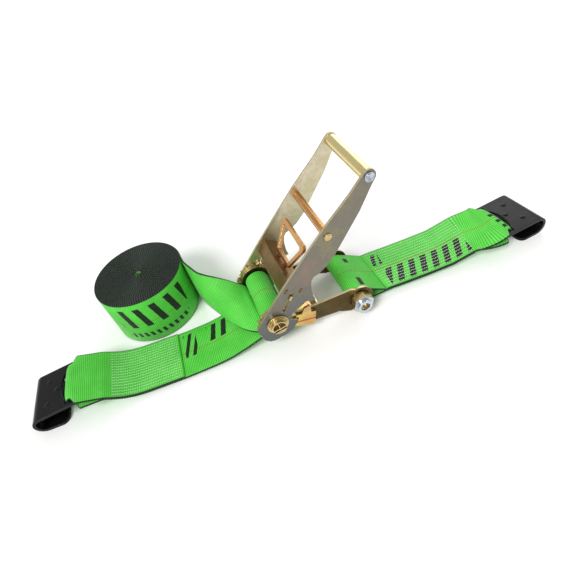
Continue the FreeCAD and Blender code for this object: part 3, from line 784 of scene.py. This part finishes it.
def tail_edges():
    """Upper and lower edge of the tail from the drum to the roll, in mm."""
    return [((-22.6, 50.4, 55.0), (-19.6, -50.4, 44.4)),
            ((-27.2, 50.6, 62.0), (-25.0, -50.0, 42.0)),
            ((-35.0, 53.0, 69.0), (-36.0, -43.0, 35.5)),
            ((-48.0, 58.5, 79.0), (-53.0, -25.0, 33.0)),
            ((-65.0, 67.0, 88.5), (-68.0, 3.0, 30.0)),
            ((-80.0, 76.0, 94.5), (-81.0, 34.0, 26.0)),
            ((-92.0, 87.0, 98.5), (-92.0, 66.0, 17.0)),
            ((-101.0, 105.5, 101.0), (-102.5, 101.0, 5.0)),
            ((-109.5, 128.0, 101.4), (-109.5, 127.0, 1.0)),
            ((-112.1, 145.5, 101.6), (-112.1, 145.5, 0.5))]


def spline(points, per):
    """Catmull-Rom curve through points."""
    out = []
    ext = [points[0] * 2 - points[1]] + points + [points[-1] * 2 - points[-2]]
    for k in range(1, len(ext) - 2):
        p0, p1, p2, p3 = ext[k - 1:k + 3]
        for s in range(per):
            t = s / per
            out.append(0.5 * (2 * p1 + (p2 - p0) * t + (2 * p0 - 5 * p1 + 4 * p2 - p3) * t * t
                              + (3 * p1 - p0 - 3 * p2 + p3) * t ** 3))
    out.append(points[-1])
    return out


def build_tail():
    """The free webbing that twists from the drum up to the roll."""
    upper = spline([at(*u) for u, _ in tail_edges()], 8)
    lower = spline([at(*d) for _, d in tail_edges()], 8)
    stations = []
    for up, down in zip(upper, lower):
        stations.append(Station((up + down) / 2, up - down, (up - down).length / 2))
    for k, s in enumerate(stations):
        s.belly = 0.009 * math.sin(math.pi * k / (len(stations) - 1)) ** 2
    lay_out(stations, False)
    obj = ribbon("tail_webbing", stations, webbing("webbing_tail", (), False, 1))
    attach(obj, "frame")
    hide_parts("strap_tail")
    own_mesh(obj)
    area = 0.0
    for p, q in zip(stations, stations[1:]):
        area += (q.centre - p.centre).length * (p.half + q.half)
    flat_length = area / STRAP_W
    return flat_length


# ---------------------------------------------------------------- roll

def build_roll():
    """The rolled webbing, as one spiral whose turns rise and fall a little."""
    outer, pitch = 82.35, 2.7
    inner = 4.6
    turns = (outer - inner) / pitch
    per_turn = 84
    steps = int(turns * per_turn)
    waves = [(random.uniform(0.5, 1.0), random.uniform(1.5, 9.0), random.uniform(0, 6.28))
             for _ in range(9)]
    stations = []
    start = -2.0
    for k in range(steps + 1):
        turned = turns * k / steps
        angle = math.radians(start + 360 * turned)
        radius = outer - pitch * turned
        radius *= 1 + 0.004 * math.sin(2 * angle + 0.6) * min(1.0, turned * 2)
        rise = sum(a * math.sin(f * turned * 0.61 + p) for a, f, p in waves) * 0.12
        rise += 0.35 * math.sin(turned * 2.1) * math.sin(3 * angle)
        rise = max(-0.3, min(0.45, rise)) * min(1.0, turned)
        centre = roll_mid + Vector((radius * math.cos(angle), radius * math.sin(angle), 0)) * MM
        centre.z = (50.95 + rise) * MM
        stations.append(Station(centre, Vector((0, 0, 1)), 0.05045))
    length = lay_out(stations)

    def along(degrees):
        return math.radians(degrees) * PRINT_R

    prints = [
        ((along(226), along(322)), (0.041, 0.088), 0.0285, 0.42, 0.22),
        ((along(228), along(316)), (0.0145, 0.0255), 0.0118, 0.5, 0.25),
    ]
    obj = ribbon("roll_webbing", stations, webbing("webbing_roll", prints, True, -1), 0.0026, True)
    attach(obj, "frame")
    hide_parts("strap_roll")
    return length


# ---------------------------------------------------------------- springs

def build_spring(node, name, start, end, angle, turns):
    """Coil in place of the CAD one, on the same body."""
    direction = Vector((math.cos(math.radians(angle)), 0, math.sin(math.radians(angle))))
    side = Vector((0, 1, 0))
    up = direction.cross(side)
    wire, radius = 0.8, 5.0
    steps = turns * 22
    verts, faces = [], []
    ring = 8
    length = end - start - 2 * wire - 0.2
    for k in range(steps + 1):
        a = 2 * math.pi * turns * k / steps
        out = side * math.cos(a) + up * math.sin(a)
        centre = hub + (direction * (start + wire + 0.1 + length * k / steps) + out * radius) * MM
        for i in range(ring):
            b = 2 * math.pi * i / ring
            verts.append(centre + (out * math.cos(b) + direction * math.sin(b)) * wire * MM)
    for k in range(steps):
        for i in range(ring):
            j = (i + 1) % ring
            faces.append((k * ring + i, k * ring + j, (k + 1) * ring + j, (k + 1) * ring + i))
    faces.append(tuple(range(ring - 1, -1, -1)))
    faces.append(tuple(steps * ring + i for i in range(ring)))
    obj = new_object(name, verts, faces, metals["bright_steel"])
    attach(obj, body_of_node(node))
    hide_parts(node)
    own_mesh(obj)


def body_of_node(node):
    parent = frame["nodes"][node].parent
    for name, empty in frame["bodies"].items():
        if empty == parent:
            return name
    return "frame"


# ---------------------------------------------------------------- surroundings

def floor_material():
    n = Nodes("studio_floor")
    where = n.node("TexCoord").outputs["Object"]
    soft = n.noise(where, 3.0, 2.0)
    colour = n.mix(soft, rgb(250, 250, 249), rgb(252, 252, 251))
    return n.finish(Base_Color=colour, Roughness=0.9, Specular_IOR_Level=0.1)


def build_floor():
    mesh = bpy.data.meshes.new("studio_floor")
    r = 60.0
    mesh.from_pydata([(-r, -r, 0), (r, -r, 0), (r, r, 0), (-r, r, 0)], [], [(0, 1, 2, 3)])
    mesh.materials.append(floor_material())
    obj = bpy.data.objects.new("studio_floor", mesh)
    bpy.context.scene.collection.objects.link(obj)


def area_light(name, place, aim, size, power):
    data = bpy.data.lights.new(name, "AREA")
    data.size = size
    data.energy = power
    obj = bpy.data.objects.new(name, data)
    bpy.context.scene.collection.objects.link(obj)
    obj.location = place
    obj.rotation_mode = "QUATERNION"
    obj.rotation_quaternion = (Vector(aim) - Vector(place)).to_track_quat("-Z", "Y")


def build_light():
    world = bpy.data.worlds.new("studio")
    bpy.context.scene.world = world
    world.use_nodes = True
    background = world.node_tree.nodes["Background"]
    background.inputs[0].default_value = (1.0, 1.0, 1.0, 1.0)
    background.inputs[1].default_value = 0.6
    sun = bpy.data.lights.new("key", "SUN")
    sun.energy = 2.3
    sun.angle = math.radians(26)
    key = bpy.data.objects.new("key", sun)
    bpy.context.scene.collection.objects.link(key)
    key.rotation_mode = "QUATERNION"
    key.rotation_quaternion = Vector((1.5, 1.3, -2.0)).to_track_quat("-Z", "Y")
    area_light("rim", (1.2, 1.3, 1.0), (0.1, 0, 0.05), 1.2, 9.0)


build_floor()
build_light()
short_length = build_short_strap()
long_length = build_long_strap()
drum_length = build_drum()
tail_length = build_tail()
roll_length = build_roll()
build_spring("lock_pawl_spring", "lock_pawl_coil", 66.1, 73.9, FRAME_ANGLE, 3)
build_spring("drive_pawl_spring", "drive_pawl_coil", 60.1, 74.9, DRIVE_ANGLE, 4)
